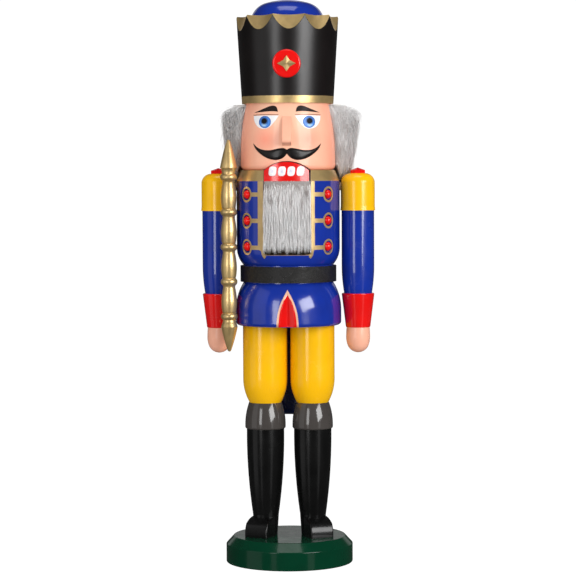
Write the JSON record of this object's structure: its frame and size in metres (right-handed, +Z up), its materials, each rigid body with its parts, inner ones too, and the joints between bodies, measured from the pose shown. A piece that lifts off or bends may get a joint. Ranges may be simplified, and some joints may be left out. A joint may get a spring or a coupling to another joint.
{
  "type": "nutcracker figure",
  "caption": "Turned wooden nutcracker soldier with a crown hat, fur beard and sceptre, whose coat-tail lever opens the jaw to take a nut.",
  "frame": {"origin": "centre of the underside of the round base plate", "axes": "+Z up, the figure faces -Y, +X towards its left hand"},
  "size_m": [0.124, 0.0908, 0.4004],
  "materials": {
    "green_lacquer": "gloss",
    "black_lacquer": "gloss",
    "grey_lacquer": "gloss",
    "yellow_lacquer": "gloss",
    "blue_lacquer": "gloss",
    "red_lacquer": "gloss",
    "flesh_lacquer": "satin",
    "gold_lacquer": "satin",
    "hat_lacquer": "satin",
    "bare_beech": "matte",
    "belt_leather": "grained",
    "grey_fur": "soft"
  },
  "bodies": {
    "figure": {"base_plate": "green_lacquer", "belt": "belt_leather", "coat_body": "blue_lacquer", "hair": "grey_fur", "hat": "hat_lacquer", "hat_cushion": "blue_lacquer", "hat_dowel": "bare_beech", "hat_rosette": "red_lacquer", "head": "flesh_lacquer", "jaw_pin": "bare_beech", "left_arm_dowel": "bare_beech", "left_boot": "black_lacquer", "left_bottom_button": "red_lacquer", "left_epaulette_stud": "red_lacquer", "left_hand": "flesh_lacquer", "left_knee_cuff": "grey_lacquer", "left_leg_dowel": "bare_beech", "left_middle_button": "red_lacquer", "left_neck_dowel": "bare_beech", "left_shoe": "black_lacquer", "left_shoulder_cap": "yellow_lacquer", "left_shoulder_dowel": "bare_beech", "left_sleeve": "blue_lacquer", "left_top_button": "red_lacquer", "left_trouser_leg": "yellow_lacquer", "left_wrist_cuff": "red_lacquer", "lower_sceptre_dowel": "bare_beech", "nose": "flesh_lacquer", "right_arm_dowel": "bare_beech", "right_boot": "black_lacquer", "right_bottom_button": "red_lacquer", "right_epaulette_stud": "red_lacquer", "right_hand": "flesh_lacquer", "right_knee_cuff": "grey_lacquer", "right_leg_dowel": "bare_beech", "right_middle_button": "red_lacquer", "right_neck_dowel": "bare_beech", "right_shoe": "black_lacquer", "right_shoulder_cap": "yellow_lacquer", "right_shoulder_dowel": "bare_beech", "right_sleeve": "blue_lacquer", "right_top_button": "red_lacquer", "right_trouser_leg": "yellow_lacquer", "right_wrist_cuff": "red_lacquer", "rosette_star": "gold_lacquer", "sceptre": "gold_lacquer", "upper_sceptre_dowel": "bare_beech"},
    "lever": {"jaw_lever": "blue_lacquer", "beard": "grey_fur"}
  },
  "joints": [
    {"name": "jaw_hinge", "type": "hinge", "parent": "figure", "child": "lever", "pos_m": [0, 0.009, 0.243], "axis": [1, 0, 0], "range_deg": [0, 26], "deforming": ["beard"]}
  ]
}
